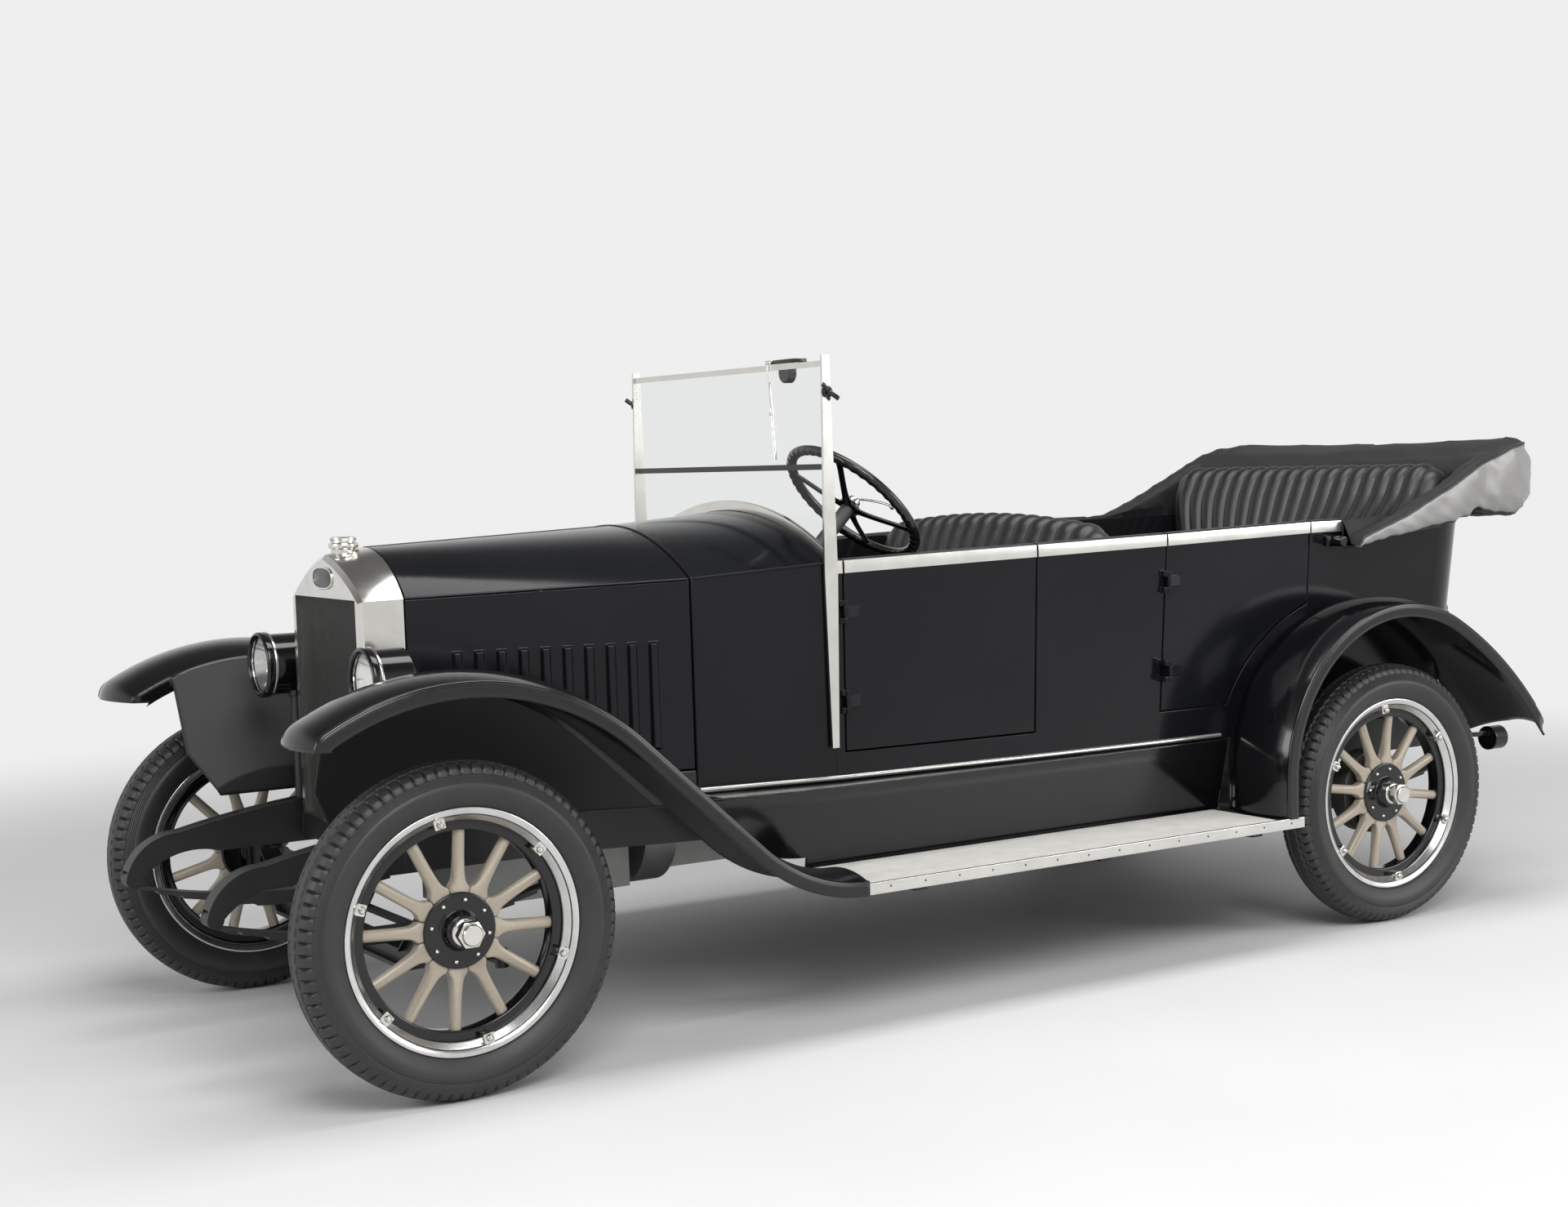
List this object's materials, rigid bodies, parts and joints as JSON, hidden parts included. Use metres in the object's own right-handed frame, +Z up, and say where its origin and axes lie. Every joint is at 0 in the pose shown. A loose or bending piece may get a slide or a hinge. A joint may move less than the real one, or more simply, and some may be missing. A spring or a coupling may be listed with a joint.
{
  "type": "open touring car",
  "caption": "Open four-door touring car of the 1920s with wooden spoked wheels, long fenders, running boards and a folded hood.",
  "frame": {"origin": "on the ground plane under the middle of the car's length and width", "axes": "+X forward along the car, +Y to the car's left, +Z up"},
  "size_m": [4.21, 1.65, 1.6709],
  "materials": {
    "body_paint": "gloss",
    "black_enamel": "gloss",
    "chassis_paint": "satin",
    "nickel": "polished",
    "bright_rim": "satin",
    "iron": "matt",
    "spring_steel": "satin",
    "tread": "matt",
    "wheel_wood": "varnished",
    "seat_leather": "satin",
    "seat_wood": "painted",
    "hood_cloth": "matt",
    "grip": "gloss",
    "clear": "clear",
    "board_cover": "matt",
    "core_metal": "dull"
  },
  "bodies": {
    "car": {"body_tub": "body_paint", "bonnet_hinge": "body_paint", "bonnet_ledges": "black_enamel", "chassis_frame": "chassis_paint", "cowl": "body_paint", "engine": "iron", "exhaust": "iron", "folded_hood": "hood_cloth", "front_axle": "chassis_paint", "front_fender_left": "black_enamel", "front_fender_right": "black_enamel", "front_seat": "seat_leather", "headlamp_lenses": "clear", "headlamps": "black_enamel", "hood_irons": "black_enamel", "leaf_springs": "spring_steel", "propeller_shaft": "chassis_paint", "radiator_cap": "nickel", "radiator_core": "core_metal", "radiator_shell": "nickel", "rear_axle": "chassis_paint", "rear_fender_left": "black_enamel", "rear_fender_right": "black_enamel", "rear_seat": "seat_leather", "running_boards": "board_cover", "seat_boxes": "seat_wood", "spare_carrier": "chassis_paint", "spare_rim": "bright_rim", "spare_tyre": "tread", "splash_aprons": "black_enamel", "steering_column": "iron", "tail_lamp": "black_enamel", "windscreen_frame": "nickel", "windscreen_glass": "clear", "wiper": "black_enamel"},
    "front_left_wheel": {"tyre_front_left": "tread", "wood_wheel_front_left": "wheel_wood", "wheel_metal_front_left": "bright_rim"},
    "front_right_wheel": {"tyre_front_right": "tread", "wood_wheel_front_right": "wheel_wood", "wheel_metal_front_right": "bright_rim"},
    "rear_left_wheel": {"tyre_rear_left": "tread", "wood_wheel_rear_left": "wheel_wood", "wheel_metal_rear_left": "bright_rim"},
    "rear_right_wheel": {"tyre_rear_right": "tread", "wood_wheel_rear_right": "wheel_wood", "wheel_metal_rear_right": "bright_rim"},
    "left_knuckle": {"knuckle_left": "chassis_paint"},
    "right_knuckle": {"knuckle_right": "chassis_paint"},
    "track_rod": {"tie_rod": "chassis_paint"},
    "hand_wheel": {"steering_wheel": "grip"},
    "front_left_door": {"door_front_left": "body_paint"},
    "front_right_door": {"door_front_right": "body_paint"},
    "rear_left_door": {"door_rear_left": "body_paint"},
    "rear_right_door": {"door_rear_right": "body_paint"},
    "left_bonnet_half": {"bonnet_top_left": "body_paint", "bonnet_side_left": "body_paint"},
    "right_bonnet_half": {"bonnet_top_right": "body_paint", "bonnet_side_right": "body_paint"}
  },
  "joints": [
    {"name": "steer_left", "type": "hinge", "parent": "car", "child": "left_knuckle", "pos_m": [1.655, 0.6, 0.382], "axis": [0, 0, 1], "range_deg": [-30, 30]},
    {"name": "steer_right", "type": "hinge", "parent": "car", "child": "right_knuckle", "pos_m": [1.655, -0.6, 0.382], "axis": [0, 0, 1], "range_deg": [-30, 30]},
    {"name": "track_rod_swing", "type": "hinge", "parent": "left_knuckle", "child": "track_rod", "pos_m": [1.505, 0.6, 0.27], "axis": [0, 0, 1], "range_deg": [-30, 30]},
    {"name": "steering_wheel_turn", "type": "hinge", "parent": "car", "child": "hand_wheel", "pos_m": [0.296, 0.3, 1.29], "axis": [-0.7071, 0, 0.7071], "range_deg": [-330, 330]},
    {"name": "spin_front_left", "type": "hinge", "parent": "left_knuckle", "child": "front_left_wheel", "pos_m": [1.655, 0.702, 0.382], "axis": [0, 1, 0], "continuous": true},
    {"name": "spin_front_right", "type": "hinge", "parent": "right_knuckle", "child": "front_right_wheel", "pos_m": [1.655, -0.702, 0.382], "axis": [0, 1, 0], "continuous": true},
    {"name": "spin_rear_left", "type": "hinge", "parent": "car", "child": "rear_left_wheel", "pos_m": [-1.295, 0.702, 0.382], "axis": [0, 1, 0], "continuous": true},
    {"name": "spin_rear_right", "type": "hinge", "parent": "car", "child": "rear_right_wheel", "pos_m": [-1.295, -0.702, 0.382], "axis": [0, 1, 0], "continuous": true},
    {"name": "front_left_door_hinge", "type": "hinge", "parent": "car", "child": "front_left_door", "pos_m": [0.4675, 0.51144, 0.9], "axis": [0, 0, -1], "range_deg": [0, 70]},
    {"name": "front_right_door_hinge", "type": "hinge", "parent": "car", "child": "front_right_door", "pos_m": [0.4675, -0.51144, 0.9], "axis": [0, 0, 1], "range_deg": [0, 70]},
    {"name": "rear_left_door_hinge", "type": "hinge", "parent": "car", "child": "rear_left_door", "pos_m": [-0.5625, 0.59805, 0.9], "axis": [0, 0, -1], "range_deg": [0, 70]},
    {"name": "rear_right_door_hinge", "type": "hinge", "parent": "car", "child": "rear_right_door", "pos_m": [-0.5625, -0.59805, 0.9], "axis": [0, 0, 1], "range_deg": [0, 70]},
    {"name": "left_bonnet_hinge", "type": "hinge", "parent": "car", "child": "left_bonnet_half", "pos_m": [0.88, 0, 1.245], "axis": [0.9992, 0, -0.04], "range_deg": [0, 60]},
    {"name": "right_bonnet_hinge", "type": "hinge", "parent": "car", "child": "right_bonnet_half", "pos_m": [0.88, 0, 1.245], "axis": [-0.9992, 0, 0.04], "range_deg": [0, 60]}
  ],
  "couplings": [
    {"joint": "steer_right", "follows": "steer_left", "ratio": 1},
    {"joint": "track_rod_swing", "follows": "steer_left", "ratio": -1},
    {"joint": "steering_wheel_turn", "follows": "steer_left", "ratio": 11}
  ]
}
